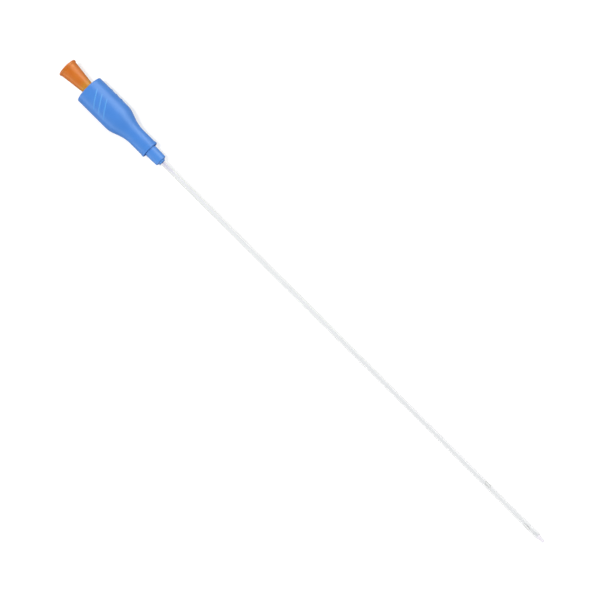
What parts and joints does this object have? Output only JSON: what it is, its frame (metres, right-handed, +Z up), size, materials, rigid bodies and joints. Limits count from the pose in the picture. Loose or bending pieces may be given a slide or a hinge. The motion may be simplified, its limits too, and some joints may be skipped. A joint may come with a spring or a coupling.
{
  "type": "intermittent urinary catheter",
  "caption": "Straight clear catheter tube with a tapered drainage funnel, side eyes and soft tip, and a bottle-shaped ribbed grip that slides along it.",
  "frame": {"origin": "middle of the object's box, on the surface that it lies on", "axes": "+X along the tube towards the tip, +Z up"},
  "size_m": [0.41, 0.0195, 0.0198],
  "materials": {
    "orange_pvc": "satin",
    "clear_pvc": "gloss",
    "tip_polymer": "satin",
    "blue_elastomer": "satin",
    "blue_polypropylene": "satin"
  },
  "bodies": {
    "catheter": {"drainage_funnel": "orange_pvc", "catheter_tube": "clear_pvc", "soft_tip": "tip_polymer"},
    "grip": {"grip_sleeve": "blue_elastomer", "grip_guide": "blue_polypropylene"}
  },
  "joints": [
    {"name": "grip_slide", "type": "slide", "parent": "catheter", "child": "grip", "axis": [0.9998, 0, -0.0218], "range_m": [0, 0.32]}
  ]
}
